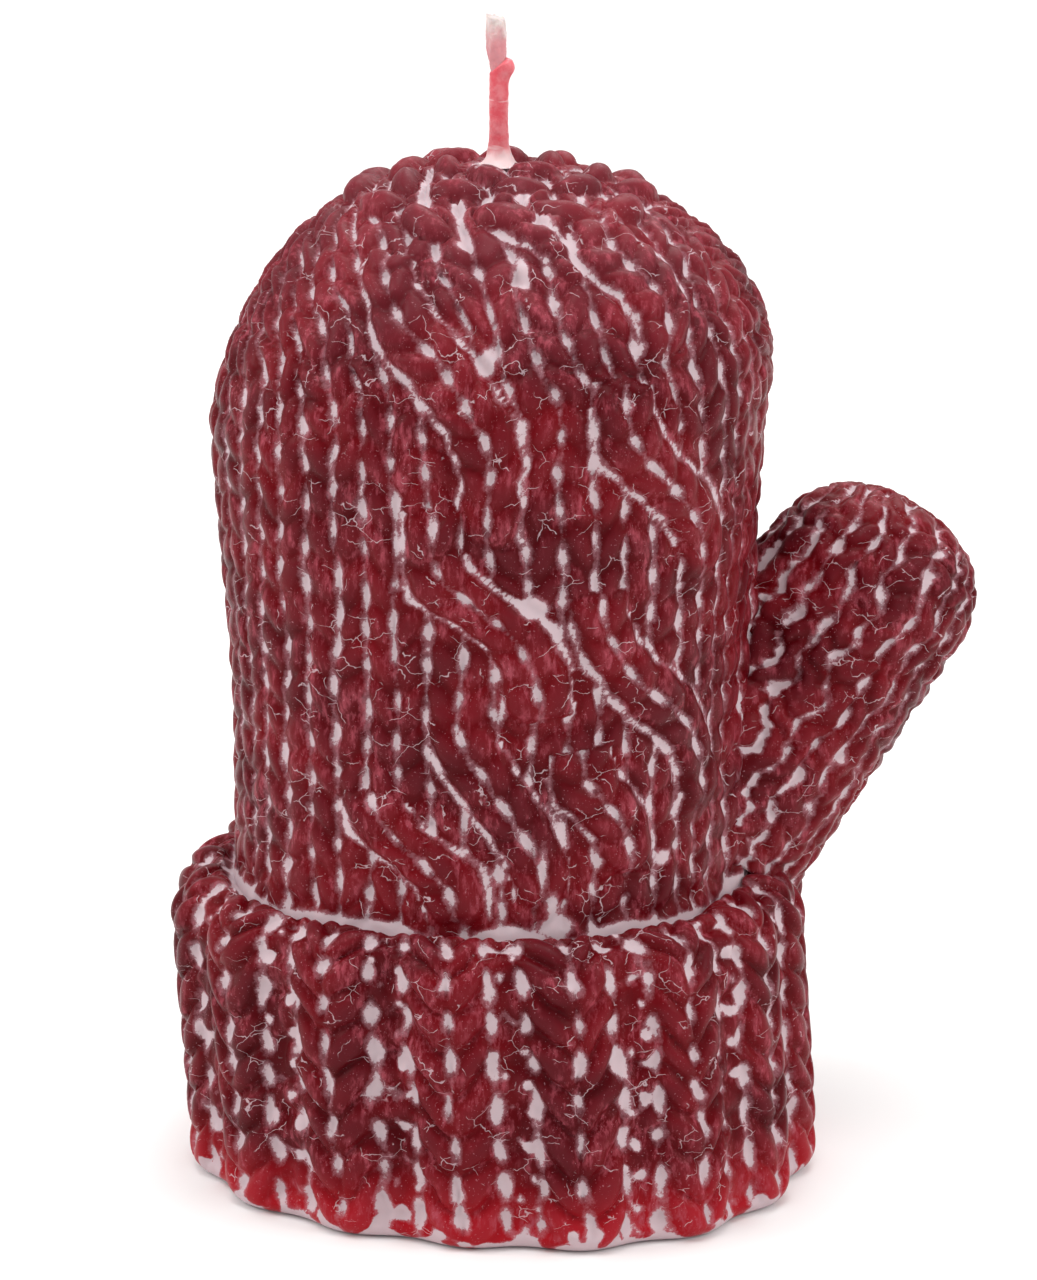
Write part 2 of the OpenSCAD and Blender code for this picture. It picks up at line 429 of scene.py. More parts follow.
def layGather(height, lift, marks, points):
    # Stitches that lie round the crown, each a half-ellipsoid turned a little off its ring
    x, y = points[..., 0], points[..., 1]
    radius, angle = np.hypot(x, y), np.arctan2(y, x)
    dice = np.random.default_rng(gather["seed"])
    bare = np.ones_like(height)
    for ring, count, long, wide in gather["rings"]:
        stepAngle = 2 * np.pi / count
        place = (angle / stepAngle) % count
        which = np.floor(place).astype(int) % count
        shift, outward, tilt = dice.uniform(-1, 1, (3, count))
        tangent = (place - np.floor(place) - 0.5 - 0.12 * shift[which]) * stepAngle * ring
        radial = radius - ring - 0.8 * outward[which] - (0.2 + 0.35 * tilt[which]) * tangent
        square = (tangent / (long / 2)) ** 2 + (radial / (wide / 2)) ** 2
        lump = 0.25 + 0.75 * np.clip(1 - square, 0, 1) ** 0.5
        height = np.where(square < 1, np.maximum(height * 0.3, lump), height)
        lift = np.maximum(lift, 1.0 * np.clip(1 - square, 0, 1) ** 0.7)
        marks = np.where(square < 1, np.maximum(marks, (1 - square) * 2.0), marks)
        bare = np.where(square < 1, 0, bare)
    reach = gather["rings"][-1][0] + 3.5
    return height, lift, marks - 0.4 * bare * ease((reach - radius) / 3)


def handRelief(turn, length, points, sways):
    # The knit follows true lengths on the surface: s across from the middle of the front or the
    # palm, so that wales end at the sides of the crown, and t up the outline of the hand
    around = (turn * girth - frontLength + girth / 2) % girth - girth / 2
    front = np.abs(around) <= girth / 4
    sideways = np.where(front, around, around - np.sign(around) * girth / 2)
    z = np.interp(length, handLengths, handHeights)
    shrink = np.interp(length, handLengths, handShares) * handHalf(z)[0] / (body["handWide"] / 2)
    s = sideways * shrink + sway(points, sways["across"])
    t = length + sway(points, sways["along"])
    # up the crown the columns lean to one side: a parabola first, then a straight slant
    lean = np.minimum(0.03 * np.maximum(t - 76, 0) ** 2, 0.42 * np.maximum(t - 79.5, 0) + 0.36)
    uneven = sway(points, sways["bridges"])
    size = np.clip(1 + sway(points, sways["marks"]), 0.55, 1.5)
    across = wrapAcross(s + lean + 8.5, knit["legWide"])
    height, lift = legs(across, t, knit, uneven), np.zeros_like(t)
    marks = legMarks(across, t, knit, size)
    for rope in ropes:
        laid = layRope(height, lift, marks, s, t, rope, uneven, size)
        height, lift, marks = (np.where(front, a, b) for a, b in zip(laid, (height, lift, marks)))
    height, lift, marks = layGather(height, lift, marks, points)
    crown = 1 + 0.45 * ease((t - 80) / 8)  # stitches swell where the crown is gathered in
    return height + sway(points, sways["grain"]), lift - 0.25, marks, crown


def webbing(distance, reach):
    # Two bodies run together: each swells by (reach - d)^2 / (4 reach) within reach of the other
    near = np.clip(distance, 0, reach)
    return (reach - near) ** 2 / (4 * reach)


def toThumb(points):
    # Points in the thumb's own frame: its axis is +Z and its tip's middle is the origin
    turn, lean = math.radians(thumbSize["turn"]), math.radians(thumbSize["lean"])
    reach = body["handWide"] / 2 + thumbSize["out"]
    x = points[..., 0] * math.cos(turn) + points[..., 1] * math.sin(turn) - reach
    y = -points[..., 0] * math.sin(turn) + points[..., 1] * math.cos(turn)
    z = points[..., 2] - thumbSize["tip"]
    aside, along = x * math.cos(lean) - z * math.sin(lean), x * math.sin(lean) + z * math.cos(lean)
    return np.stack([aside, y, along], -1)


def fromThumb(local):
    # The way back from toThumb: lean the axis over, move it out to the tip, then turn round the wick
    turn, lean = math.radians(thumbSize["turn"]), math.radians(thumbSize["lean"])
    reach = body["handWide"] / 2 + thumbSize["out"]
    out = local[..., 0] * math.cos(lean) + local[..., 2] * math.sin(lean) + reach
    z = -local[..., 0] * math.sin(lean) + local[..., 2] * math.cos(lean) + thumbSize["tip"]
    x = out * math.cos(turn) - local[..., 1] * math.sin(turn)
    y = out * math.sin(turn) + local[..., 1] * math.cos(turn)
    return np.stack([x, y, z], -1)


def distanceToThumb(points):
    # How far a point lies outside the thumb's rounded cylinder
    local = toThumb(points)
    beyond = np.maximum(local[..., 2], 0) / thumbSize["cap"]
    radial = np.hypot(local[..., 0] / (thumbSize["wide"] / 2), local[..., 1] / (thumbSize["thick"] / 2))
    return (np.hypot(radial, beyond) - 1) * thumbSize["middling"]


def distanceToHand(points):
    # How far a point lies outside the hand's oval: ((|x/a|^n + |y/b|^n)^(1/n) - 1) times its half width
    z = points[..., 2]
    halfWide, halfThick = handHalf(z)
    square = body["handSquare"]
    x = np.abs((points[..., 0] - middleAt(z)) / halfWide)
    y = np.abs(points[..., 1] / halfThick)
    return ((x**square + y**square) ** (1 / square) - 1) * body["run"]


hand = {
    "around": 404,
    "up": 242,
    "web": 5.0,  # reach of the web between hand and thumb
    "crease": 30.9,  # where the hand comes out of the cuff
    "band": 1.1,  # height of the wash above the crease
    "deepWash": (0.45, 0.25, 0.06),  # height it starts below, over what depth, and by how many mm
    "sway": {
        # what keeps the knit from being even: amount, size in mm and seed of each wobble
        "across": [(0.35, 9.0, 3), (0.07, 3.0, 4)],
        "along": [(0.45, 11.0, 5), (0.1, 3.5, 6)],
        "bridges": [(0.2, 6.0, 7)],
        "marks": [(0.16, 13.0, 9), (0.13, 4.0, 10)],
        "grain": [(0.03, 1.6, 8)],
        "band": [(0.5, 11.0, 31)],
    },
    "pools": [
        # pools of wash on the front: mm across, mm up, half width and half height
        (11.6, 64.3, 1.5, 1.1),
        (5.3, 88.2, 1.0, 1.3),
        (14.4, 32.0, 2.0, 1.1),
        (13.9, 34.2, 0.7, 1.9),
        (12.9, 38.5, 0.4, 2.4),
        (27.0, 37.5, 1.2, 0.9),
        (9.5, 97.5, 0.9, 2.2),
        (1.5, 100.5, 1.5, 0.8),
    ],
}


def makeHand(spec):
    # Smooth hand + normal * (lump * (height of the knit - 0.85) + lift of the ropes + web to the thumb).
    # Plain stitches lie just under the smooth shape; ropes and gathered stitches stand above it
    turn = np.arange(spec["around"]) / spec["around"]
    length = np.linspace(handLengths[0], handLengths[-1] - 0.15, spec["up"])
    turn, length = np.meshgrid(turn, length)
    points = handPoints(turn, length)
    normal = gridNormals(points)
    height, lift, marks, crown = handRelief(turn, length, points, spec["sway"])
    thumbNear = distanceToThumb(points)
    calm = ease((length - spec["crease"] + 0.6) / 2.4)  # the knit fades down into the crease
    top = ease((handLengths[-1] - length) / 2.5)
    relief = (crown * knit["lump"] * (np.maximum(height, knit["floor"]) - 0.85) + lift) * calm * top
    swell = webbing(thumbNear, spec["web"])
    moved = points + normal * (relief + swell)[..., None]
    band = length - spec["crease"] - spec["band"] * (0.55 + sway(points, spec["sway"]["band"]))
    marks = np.minimum(marks - 0.3 * ease(1 - thumbNear / 4.5), band)
    level, over, amount = spec["deepWash"]
    marks = marks - amount * ease((level - height) / over)  # a little wash in any other deep place
    around = (turn * girth - frontLength + girth / 2) % girth - girth / 2
    for s, t, wide, high in spec["pools"]:
        inPool = np.hypot((around - s) / wide, (length - t) / high) - 1
        marks = np.minimum(marks, inPool * min(wide, high) + 0.5 * (height - 0.4))
    return closedSkin("hand_wax", moved, {"depth": marks, "height": height})


cuff = {
    "around": 560,
    "knit": {
        "legWide": 4.0,
        "rowHigh": 4.15,
        "slope": 1.0,
        "lump": 1.3,
        "arch": 0.5,
        "between": 0.72,
        "bridge": 0.5,
        "holeLong": 0.5,
        "mark": (0.42, 0.95),
        "floor": 0.2,
        "purlTop": 0.8,
    },
    "crease": 1.0,  # width of the band of wash in the crease
    "rimWash": 1.9,  # height of the wash round the lower rim
    "pocketRoof": 0.35,  # height of the pocket's roof above the underside of the tab
    "sway": {
        "across": [(0.3, 9.0, 11), (0.12, 3.0, 12)],
        "along": [(0.5, 12.0, 13), (0.2, 4.0, 14)],
        "bridges": [(0.15, 5.0, 15)],
        "marks": [(0.2, 8.0, 18), (0.16, 2.5, 19)],
        "bumps": [(0.16, 2.6, 16)],
        "spots": [(0.75, 2.4, 20)],
        "band": [(0.5, 11.0, 31)],
        "rim": [(0.6, 6.0, 32), (0.4, 2.0, 33)],
    },
}


def cuffRings(size):
    # The cuff's outline as rings of inset, height and share of the way to the hand: a quarter-round
    # rim, the wall, a quarter of an oval that rolls in, and a short fall into the crease
    rimTurn = np.radians(np.linspace(0, 90, 9))
    rollTurn = np.radians(np.linspace(0, 90, 32))[1:]
    wallUp = np.linspace(size["rim"], size["height"] - size["roll"], 74)[1:]
    fall = np.linspace(0, 1, 12)[1:]
    plain = np.zeros(len(wallUp) + len(rollTurn) + len(fall))
    inset = np.concatenate([size["rim"] * (1 - np.sin(rimTurn)), plain, [0.8]])
    rimUp = size["rim"] * (1 - np.cos(rimTurn))
    rollUp = size["height"] - size["roll"] * (1 - np.sin(rollTurn))
    foldUp = size["height"] - size["fold"] * ease(fall)
    z = np.concatenate([rimUp, wallUp, rollUp, foldUp, [size["height"] - size["fold"] - 0.5]])
    rollIn = size["rollTop"] * (1 - np.cos(rollTurn))
    foldIn = mix(size["rollTop"], 1.0, fall)
    share = np.concatenate([np.zeros(len(rimUp) + len(wallUp)), rollIn, foldIn, [1.0]])
    return inset[:, None], z[:, None], share[:, None]


def ribRelief(ribPhase, run, outer, spec, size, sways):
    # Ribs of V stitches with a narrow column of purl bumps in each gutter between them
    pitch = size["girth"] / size["ribs"]
    across = ((ribPhase + np.pi) % (2 * np.pi) - np.pi) / (2 * np.pi) * pitch
    across = across + sway(outer, sways["across"])
    along = run + sway(outer, sways["along"])
    uneven = sway(outer, sways["bridges"])
    marking = np.clip(1 + sway(outer, sways["marks"]), 0.5, 1.7)
    gutterHalf = pitch / 2 - spec["legWide"]
    fromEdge = np.clip((np.abs(across) - spec["legWide"]) / gutterHalf, 0, 1)
    edgeAlong = along - spec["slope"] * spec["legWide"]
    row = edgeAlong / spec["rowHigh"]
    inRow = 2 * np.abs(row - np.round(row))  # 0 where two bumps meet, 1 on top of a bump
    hole = spec["bridge"] * ease((inRow - spec["holeLong"] + uneven) / 0.3)
    bump = spec["purlTop"] - 0.45 * (1 - inRow) ** 2 + sway(outer, sways["bumps"])
    purl = hole + (bump - hole) * (1 - (1 - fromEdge) ** 3)
    inRib = np.abs(across) < spec["legWide"]
    height = np.where(inRib, legs(across, along, spec, uneven), purl)
    marks = np.minimum(
        markEdge(np.abs(across), along, spec, marking),
        markEdge(np.abs(np.abs(across) - spec["legWide"] - 0.2), edgeAlong, spec, marking * 1.15),
    )
    spots = 0.5 + sway(outer, sways["spots"])  # stray spots of wash among the purl bumps
    marks = np.where(inRib, marks, np.minimum(marks, spots + 0.7 * inRow))
    return height, marks, 0.5 * (1 - fromEdge) - 0.4


def makeCuff(spec):
    # Ovals stacked up the outline: half width = wall + ribDeep / 2 * cos(ribs * angle) - inset, moving to
    # the hand's as the roll turns in. The knit is then laid on it along the normal
    size = cuffSize
    inset, z, share = cuffRings(size)
    angle = np.linspace(0, 2 * np.pi, spec["around"], endpoint=False)[None, :]
    cuffThick = mix(size["baseThick"], size["thick"], z / size["height"])
    handWide, handThick = handHalf(np.maximum(z, size["height"] - size["fold"]))
    x, y = oval(angle, size["square"])
    ribPhase = size["ribs"] * (angle - math.radians(size["ribAngle"]))
    swell = size["ribDeep"] / 2 * np.cos(ribPhase) * (1 - share) - inset
    halfWide = mix(size["wide"] / 2, handWide, share) + swell
    halfThick = mix(cuffThick / 2, handThick, share) + swell
    outer = np.stack([middleAt(z) + halfWide * x, halfThick * y, z + 0 * x], -1)
    normal = gridNormals(outer)
    run = runLength(np.hypot(outer[:, 0, 0], outer[:, 0, 1]), outer[:, 0, 2])[:, None]
    height, marks, ribLift = ribRelief(ribPhase, run, outer, spec["knit"], size, spec["sway"])
    left = run[-1] - run
    fade = ease((run - 1.2) / 3.0) * ease((left - 0.6) / 2.4)  # smooth under the rim and in the crease
    relief = (spec["knit"]["lump"] * (np.maximum(height, spec["knit"]["floor"]) - 0.85) + ribLift) * fade
    band = left - 1.2 - spec["crease"] * (0.5 + sway(outer, spec["sway"]["band"]))
    rim = run - spec["rimWash"] * (0.9 + sway(outer, spec["sway"]["rim"]))
    marks = np.minimum(marks - 0.15 * ease(1 - run / 8.0), np.minimum(band, rim - 0.8 * (1 - height)))
    outer = outer + normal * relief[..., None]
    outer[..., 2] = np.maximum(outer[..., 2], 0)
    # underneath: the roof of the tab's round pocket, its wall, then the flat base out to the rim
    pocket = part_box("wick_sustainer")[1][0] / mm
    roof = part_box("wick_sustainer")[0][2] / mm + spec["pocketRoof"]
    ringX, ringY = pocket * np.cos(angle[0]), pocket * np.sin(angle[0])
    wall = np.stack([ringX, ringY, 0 * ringX], -1)
    edge = outer[0] * [1, 1, 0]
    flat = mix(wall, edge, np.linspace(0, 1, 16)[:-1, None, None])
    deep = wall + [0, 0, roof]
    points = np.concatenate([[deep * [0.3, 0.3, 1], deep], flat, outer])
    quiet = np.full((len(points) - len(outer), spec["around"]), 0.6)
    attributes = {"depth": np.concatenate([quiet, marks]), "height": np.concatenate([quiet, height])}
    return closedSkin("cuff_wax", points, attributes)


thumb = {
    "around": 230,
    "up": 150,
    "sway": {
        "across": [(0.7, 8.0, 21), (0.25, 3.0, 24)],
        "along": [(0.8, 9.0, 22), (0.3, 3.0, 25)],
        "bridges": [(0.2, 5.0, 23)],
        "marks": [(0.3, 5.0, 27), (0.2, 2.0, 28)],
        "grain": [(0.07, 1.6, 26)],
        "frost": [(0.35, 1.3, 29)],
    },
}


def makeThumb(spec):
    # An oval cylinder whose end is a dome, (r / half)^n + (z / cap)^n = 1, with its knit running up its
    # own axis and laid on it along the normal
    size, sways = thumbSize, spec["sway"]
    turn = np.arange(spec["around"]) / spec["around"] * 2 * np.pi
    cap = np.linspace(0, np.pi / 2, 400)
    outlineIn = np.concatenate([[1.0], np.cos(cap) ** (2 / size["square"])])
    outlineUp = np.concatenate([[-size["long"]], size["cap"] * np.sin(cap) ** (2 / size["square"])])
    lengths = runLength(size["middling"] * outlineIn, outlineUp)
    along = np.linspace(0, lengths[-1] - 0.05, spec["up"])
    radial = np.interp(along, lengths, outlineIn)[:, None]
    rise = np.interp(along, lengths, outlineUp)[:, None]
    turn, along = np.meshgrid(turn, along)
    x, y = size["wide"] / 2 * radial * np.cos(turn), size["thick"] / 2 * radial * np.sin(turn)
    points = fromThumb(np.stack([x, y, rise + 0 * turn], -1))
    normal = gridNormals(points)
    front = (turn + np.pi / 2 + np.pi) % (2 * np.pi) - np.pi
    s = front * size["middling"] * np.maximum(radial, 0.3)
    s = s + sway(points, sways["across"])
    t = along + sway(points, sways["along"])
    across = wrapAcross(s + 1.6, knit["legWide"])
    height = legs(across, t, knit, sway(points, sways["bridges"])) + sway(points, sways["grain"])
    marking = np.clip(1.1 + sway(points, sways["marks"]), 0.3, 1.7)
    handNear = distanceToHand(points)
    frost = ease(1 - handNear / 7.0) * (0.1 + sway(points, sways["frost"]))  # grainy wash at the base
    marks = legMarks(across, t, knit, marking) - frost
    relief = knit["lump"] * (np.maximum(height, knit["floor"]) - 0.85) * ease((lengths[-1] - along) / 2)
    moved = points + normal * (relief + webbing(handNear, hand["web"]))[..., None]
    return closedSkin("thumb_wax", moved, {"depth": marks, "height": height})


waxLook = {
    "deep": ("#4b0209", "#68060f"),  # dyed wax, in slow patches
    "rim": "#a3131e",  # brighter red low on the cuff
    # pink haze of the wax, also used as painted highlight on stitch crests and painted light on the crown
    "hazeAndSheen": "#ab505d",
    "film": "#c08a95",
    "crack": "#d3bcc2",
    "wash": "#c8b4b9",
    "noises": {
        # size in mm, detail, roughness, and how far it is drawn out upwards
        "feather": (0.9, 6.0, 0.8, 1.0),
        "patch": (4.5, 3.0, 0.6, 1.0),
        "streak": (0.8, 5.0, 0.7, 3.0),
        "speck": (0.22, 2.0, 0.5, 1.0),
        "tone": (9.0, 2.0, 0.5, 1.0),
        "bend": (2.5, 3.0, 0.5, 1.0),
        "crackled": (2.6, 2.0, 0.5, 1.0),
    },
}


def redWax(spec):
    # Paraffin wax, dyed deep red, cast in a rubber mould, then brushed with a white wash that stays in
    # the hollows: the eye sees a deep red with a soft gloss that light enters a little, a pink haze
    # and fine specks where the wash was wiped off, chalky marks in the holes and white hair cracks.
    # The pink haze is also painted on the crests of the stitches as a painted highlight, and over the
    # top as painted light from above
    material, tree = newMaterial("cast_dyed_paraffin")
    place = addNode(tree, "ShaderNodeTexCoord").outputs["Object"]
    depth = addNode(tree, "ShaderNodeAttribute", {"attribute_name": "depth"}).outputs["Fac"]
    height = addNode(tree, "ShaderNodeAttribute", {"attribute_name": "height"}).outputs["Fac"]
    noise = {}
    for name, (size, detail, rough, drawn) in spec["noises"].items():
        where = addNode(tree, "ShaderNodeMapping", Vector=place, Scale=(1, 1, 1 / drawn))
        noise[name] = addNode(
            tree, "ShaderNodeTexNoise",
            Vector=where, Scale=1 / (size * mm), Detail=detail, Roughness=rough,
        )
    # distance from the nearest mark in mm, with an edge that wanders by a quarter of a millimetre
    level = addNode(
        tree, "ShaderNodeMath", {"operation": "MULTIPLY_ADD"}, in0=noise["feather"], in1=1.1,
        in2=addNode(tree, "ShaderNodeMath", {"operation": "SUBTRACT"}, in0=depth, in1=0.55),
    )
    # hair cracks 0.1 mm wide in bent cells, 3.6 mm across and half as high
    bent = addNode(
        tree, "ShaderNodeVectorMath", {"operation": "MULTIPLY_ADD"},
        in0=noise["bend"].outputs["Color"], in1=(2.4 * mm, 2.4 * mm, 2.4 * mm), in2=place,
    )
    flattened = addNode(tree, "ShaderNodeMapping", Vector=bent, Scale=(1, 1, 1.8))
    cells = addNode(
        tree, "ShaderNodeTexVoronoi", {"feature": "DISTANCE_TO_EDGE"},
        Vector=flattened, Scale=1 / (3.6 * mm),
    )
    up = addNode(tree, "ShaderNodeSeparateXYZ", Vector=place).outputs["Z"]
    top = body["height"] * mm
    shares = {
        # each is a smooth step of one value, from one level to another, up to a top
        "washed": (level, 0.09, -0.07, 0.96),
        "filmed": (level, 0.42, 0.0, 0.38),
        # painted highlight: the haze colour on the tops of the stitches, where gloss would catch the light
        "crestHighlight": (height, 0.66, 1.0, 0.08),
        "hazy": (noise["patch"], 0.42, 0.6, 1.0),
        "streaked": (noise["streak"], 0.46, 0.7, 0.7),
        "specked": (noise["speck"], 0.66, 0.74, 0.45),
        "toned": (noise["tone"], 0.35, 0.65, 1.0),
        "cracked": (cells, 0.016, 0.005, 0.6),
        "crazed": (noise["crackled"], 0.54, 0.6, 1.0),
        # painted light from above, with haze: the wax drawn lighter over the top 22 mm
        "hazeAndTopLight": (up, top - 22 * mm, top, 0.17),
        "rimmed": (up, 9 * mm, 1 * mm, 0.9),
    }
    for name, (value, start, stop, most) in shares.items():
        shares[name] = addNode(
            tree, "ShaderNodeMapRange", {"interpolation_type": "SMOOTHSTEP"},
            Value=value, From_Min=start, From_Max=stop, To_Min=0.0, To_Max=most,
        )
    for name, mask in (("streaked", "hazy"), ("cracked", "crazed")):
        shares[name] = addNode(
            tree, "ShaderNodeMath", {"operation": "MULTIPLY"}, in0=shares[name], in1=shares[mask]
        )
    colour = hexColour(spec["deep"][0])
    layers = [
        (shares["toned"], spec["deep"][1]),
        (shares["rimmed"], spec["rim"]),
        # painted highlight on the stitch crests
        (shares["crestHighlight"], spec["hazeAndSheen"]),
        # painted light from above on the crown
        (shares["hazeAndTopLight"], spec["hazeAndSheen"]),
        (shares["streaked"], spec["hazeAndSheen"]),
        (shares["specked"], spec["film"]),
        (shares["filmed"], spec["film"]),
        (shares["cracked"], spec["crack"]),
        (shares["washed"], spec["wash"]),
    ]
    for share, code in layers:
        colour = addNode(
            tree, "ShaderNodeMix", {"data_type": "RGBA"}, in0=share, in6=colour, in7=hexColour(code)
        )
    rough = addNode(
        tree, "ShaderNodeMath", {"operation": "MULTIPLY_ADD"}, in0=shares["washed"], in1=0.4, in2=0.3
    )
    bump = addNode(tree, "ShaderNodeBump", Height=noise["feather"], Distance=0.06 * mm, Strength=0.6)
    shader = addNode(
        tree, "ShaderNodeBsdfPrincipled",
        Base_Color=colour, Roughness=rough, IOR=1.44, Specular_IOR_Level=0.09, Normal=bump,
        Subsurface_Weight=0.1, Subsurface_Radius=(1.0, 0.25, 0.2), Subsurface_Scale=1.5 * mm,
        Sheen_Weight=0.06, Sheen_Roughness=0.3, Sheen_Tint=hexColour("#f0c8d0"),
    )
    addNode(tree, "ShaderNodeOutputMaterial", Surface=shader)
    return material


def finishPiece(piece, material, node):
    piece.data.materials.append(material)
    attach(piece, "root")
    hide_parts(node)


wax = redWax(waxLook)
for piece in (makeHand(hand), makeCuff(cuff), makeThumb(thumb)):
    finishPiece(piece, wax, "mitten_casting")
print("hand, cuff and thumb cast in wax")

braid = {
    "around": 72,
    "half": 0.76,  # inside the wax
    "tip": (1.02, 0.86),  # the soft cut end spreads, more across than deep
    "spread": 110.5,  # height where it starts to spread
    "bend": -0.3,
    "strands": 4,
    "pitch": 4.4,  # height of one turn of a strand
    "plait": 0.16,  # depth of the grooves between strands
    "slope": 0.35,  # how far the oblique cut falls for each mm across
    "ragged": [(0.13, 0.5, 41)],
    "fuzz": [(0.02, 0.35, 42)],
}


def makeBraid(spec):
    # A tube with a plaited skin: radius = half - plait * (1 - max(cos(na + kz)^2, cos(na - kz)^2)), the
    # strands of two helices that cross. Its cut end slopes and is a little ragged
    low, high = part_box("wick_braid")[0][2] / mm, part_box("wick_braid")[1][2] / mm
    inWax, free = np.linspace(low, spec["spread"], 160), np.linspace(spec["spread"], high - 0.3, 90)
    z = np.concatenate([inWax[:-1], free])
    angle, z = np.meshgrid(np.arange(spec["around"]) / spec["around"] * 2 * np.pi, z)
    one, other = spec["strands"] * angle / 2, np.pi * z / spec["pitch"]
    strands = np.maximum(np.cos(one + other) ** 2, np.cos(one - other) ** 2)
    loose = ease((z - spec["spread"]) / 3.5)
    sink = spec["plait"] * (1 - strands) * (0.6 + 0.4 * loose)
    x = (mix(spec["half"], spec["tip"][0], loose) - sink) * np.cos(angle)
    y = (mix(spec["half"], spec["tip"][1], loose) - sink) * np.sin(angle)
    cut = ease((z - high + 3.0) / 2.7)
    ragged = sway(np.stack([x, y, 0 * z], -1), spec["ragged"])
    z = z - cut * (spec["slope"] * (x + 0.6) - ragged)
    x = x + spec["bend"] * loose
    fuzz = sway(np.stack([x, y, z], -1), spec["fuzz"])
    points = np.stack([x + fuzz * np.cos(angle), y + fuzz * np.sin(angle), z], -1)
    return closedSkin("braid_cotton", points, {"groove": 1 - strands})


def cottonYarn():
    # Cotton yarn, spun and plaited, with wax soaked up it from below: matt off-white fibres with painted
    # grey shade in the grooves, turning pink and a little glossy where the wax has climbed
    material, tree = newMaterial("plaited_cotton_yarn")
    place = addNode(tree, "ShaderNodeTexCoord").outputs["Object"]
    groove = addNode(tree, "ShaderNodeAttribute", {"attribute_name": "groove"}).outputs["Fac"]
    # single fibres are 0.02 mm thick, drawn four times as coarse so that they show
    drawn = addNode(tree, "ShaderNodeMapping", Vector=place, Scale=(1, 1, 0.25), Rotation=(0.3, 0.3, 0))
    fibre = addNode(tree, "ShaderNodeTexNoise", Vector=drawn, Scale=1 / (0.08 * mm), Detail=3.0)
    patch = addNode(tree, "ShaderNodeTexNoise", Vector=place, Scale=1 / (1.4 * mm), Detail=3.0)
    up = addNode(tree, "ShaderNodeSeparateXYZ", Vector=place).outputs["Z"]
    climb = addNode(tree, "ShaderNodeMath", {"operation": "MULTIPLY_ADD"}, in0=patch, in1=-5 * mm, in2=up)
    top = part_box("wick_braid")[1][2]
    soaked = addNode(
        tree, "ShaderNodeMapRange", {"interpolation_type": "SMOOTHSTEP"},
        Value=climb, From_Min=top - 3.0 * mm, From_Max=top - 6.5 * mm, To_Min=0.05, To_Max=0.9,
    )
    # painted shade: the grooves between strands darkened towards grey
    shade = addNode(tree, "ShaderNodeMath", {"operation": "MULTIPLY"}, in0=groove, in1=0.35)
    pale = addNode(
        tree, "ShaderNodeMix", {"data_type": "RGBA"},
        in0=fibre, in6=hexColour("#c9bdb9"), in7=hexColour("#efe7e2"),
    )
    colour = pale
    for share, code in ((shade, "#a88f8f"), (soaked, "#cf7f86")):
        colour = addNode(
            tree, "ShaderNodeMix", {"data_type": "RGBA"}, in0=share, in6=colour, in7=hexColour(code)
        )
    rough = addNode(
        tree, "ShaderNodeMath", {"operation": "MULTIPLY_ADD"}, in0=soaked, in1=-0.35, in2=0.85
    )
    bump = addNode(tree, "ShaderNodeBump", Height=fibre, Distance=0.03 * mm, Strength=0.7)
    shader = addNode(
        tree, "ShaderNodeBsdfPrincipled",
        Base_Color=colour, Roughness=rough, IOR=1.5, Specular_IOR_Level=0.2, Normal=bump,
        Sheen_Weight=0.2, Subsurface_Weight=0.15, Subsurface_Scale=0.4 * mm,
    )
    addNode(tree, "ShaderNodeOutputMaterial", Surface=shader)
    return material


finishPiece(makeBraid(braid), cottonYarn(), "wick_braid")
print("wick plaited")

coat = {
    "around": 96,
    "up": 190,
    "half": 0.93,
    "flare": 0.62,  # how far the foot spreads on the crown
    "footHigh": 0.9,
    "lip": 0.7,  # how much higher the coat climbs on the bead's side
    "footSway": [(0.3, 1.6, 51)],
    "skinSway": [(0.03, 2.2, 52), (0.012, 0.8, 53)],
    "bead": {"stands": 0.72, "above": 1.3, "below": 0.95, "wide": 0.75, "height": 111.7},
}


def makeCoat(spec):
    # A dipped skin of wax round the wick. Its radius is half + flare * exp(-(z - foot) / footHigh),
    # with a bead on one side: stands * exp(-(dz / high)^2 - (angle / wide)^2), steeper below
    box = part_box("wick_coat")
    low, high = box[0][2] / mm, box[1][2] / mm
    share = np.linspace(0, 1, spec["up"])
    angle, share = np.meshgrid(np.arange(spec["around"]) / spec["around"] * 2 * np.pi, share)
    side = (angle + np.pi) % (2 * np.pi) - np.pi
    climb = high - 0.5 + spec["lip"] * np.cos(side - 0.3)
    z = mix(low - 0.4, climb, share)
    bead = spec["bead"]
    fromBead = z - bead["height"]
    tall = np.where(fromBead > 0, bead["above"], bead["below"])
    stands = bead["stands"] * np.exp(-((fromBead / tall) ** 2) - (side / bead["wide"]) ** 2)
    place = np.stack([np.cos(angle), np.sin(angle), z], -1)
    foot = spec["flare"] * np.exp(-(z - low - 0.1) / spec["footHigh"])
    foot = foot * (1 + sway(place, spec["footSway"]))
    half = spec["half"] + foot + stands + sway(place, spec["skinSway"])
    thin = np.sqrt(np.clip((1 - share) / 0.02, 0, 1))  # the upper edge thins onto the yarn
    half = mix(0.72, half, 0.35 + 0.65 * thin)
    lean = braid["bend"] * ease((z - braid["spread"]) / 3.5)
    points = np.stack([half * np.cos(angle) + lean, half * np.sin(angle), z], -1)
    return closedSkin("coat_wax", points, {})


